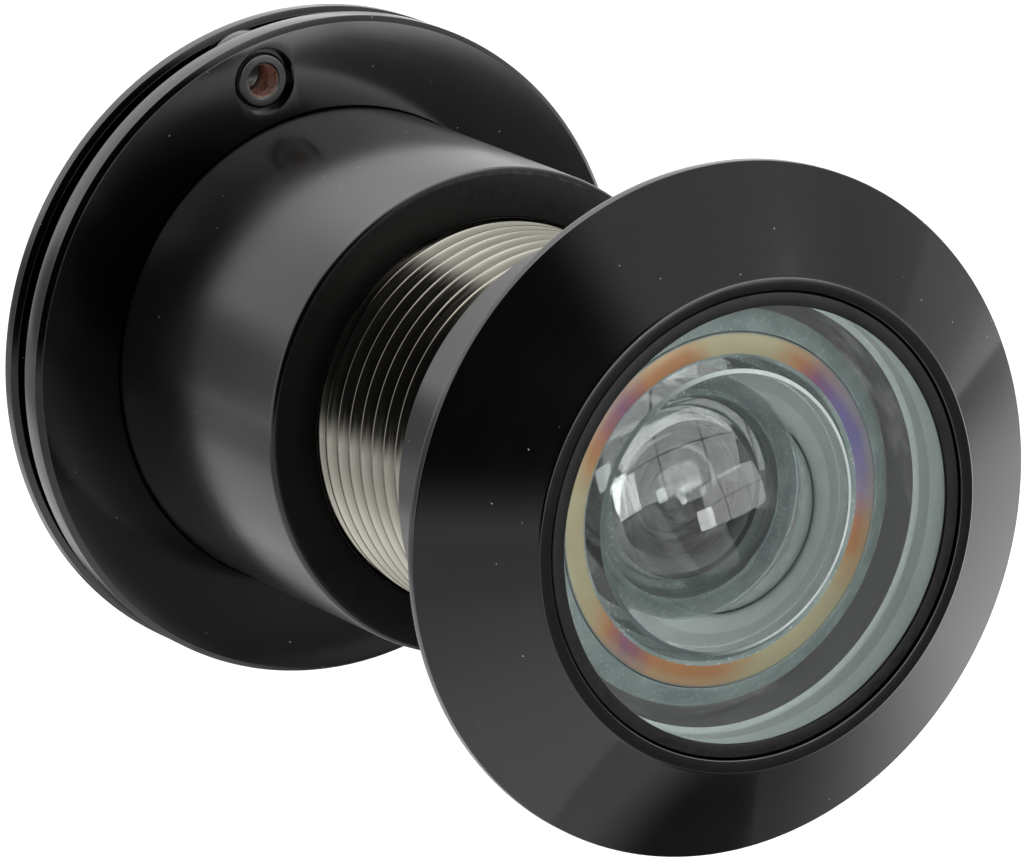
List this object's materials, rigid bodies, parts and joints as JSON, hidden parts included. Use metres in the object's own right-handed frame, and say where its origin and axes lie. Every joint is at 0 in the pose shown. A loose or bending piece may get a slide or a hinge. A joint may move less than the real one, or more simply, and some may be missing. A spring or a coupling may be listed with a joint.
{
  "type": "door viewer",
  "caption": "Wide-angle door viewer: coned outer flange with deep glass lens, threaded barrel, turning sleeve, rose and swinging privacy cover.",
  "frame": {"origin": "on the optical axis, in the plane where the outer flange bears on the door's street face", "axes": "+Y along the optical axis from the street side to the room side, +Z to the pivot of the cover, +X to the right as seen from the street"},
  "size_m": [0.038, 0.0504, 0.038],
  "materials": {
    "black_satin": "black satin coating on fine-turned brass",
    "sleeve_black": "black satin coating, a little smoother than the flanges",
    "nickel": "nickel-plated cut thread",
    "seal_rubber": "black moulded rubber",
    "lens_glass": "polished optical glass, faint green-grey, ground edges",
    "cell_metal": "blasted aluminium, iridescent under the lens",
    "inner_black": "matt black anti-reflection coating",
    "rivet_metal": "copper-coloured bore, black-coated outside",
    "spring_steel": "spring steel",
    "felt": "black felt"
  },
  "bodies": {
    "outer_half": {"outer_flange": "black_satin", "threaded_barrel": "nickel", "lens_seal": "seal_rubber", "objective_lens": "lens_glass", "lens_cell": "cell_metal", "lens_clamp_ring": "cell_metal", "second_lens": "lens_glass", "lens_spacer": "inner_black", "third_lens": "lens_glass", "light_baffle": "inner_black"},
    "inner_rose": {"rose": "black_satin", "pivot_rivet": "rivet_metal", "pivot_spacer": "black_satin", "spring_washer": "spring_steel"},
    "turning_sleeve": {"inner_sleeve": "sleeve_black", "sleeve_o_ring": "seal_rubber", "eyepiece_gasket": "seal_rubber", "eyepiece_lens": "lens_glass", "eyepiece_ring": "black_satin"},
    "cover": {"privacy_cover": "black_satin", "cover_pad": "felt"}
  },
  "joints": [
    {"name": "rose_slide", "type": "slide", "parent": "outer_half", "child": "inner_rose", "axis": [0, 1, 0], "range_m": [-0.00625, 0.00475]},
    {"name": "sleeve_turn", "type": "hinge", "parent": "inner_rose", "child": "turning_sleeve", "pos_m": [0, 0.0425, 0], "axis": [0, 1, 0], "range_deg": [-1800, 1368]},
    {"name": "cover_swing", "type": "hinge", "parent": "inner_rose", "child": "cover", "pos_m": [0, 0.0448, 0.01645], "axis": [0, 1, 0], "continuous": true}
  ],
  "couplings": [
    {"joint": "rose_slide", "follows": "sleeve_turn", "m_per_rad": 0.00019894}
  ]
}
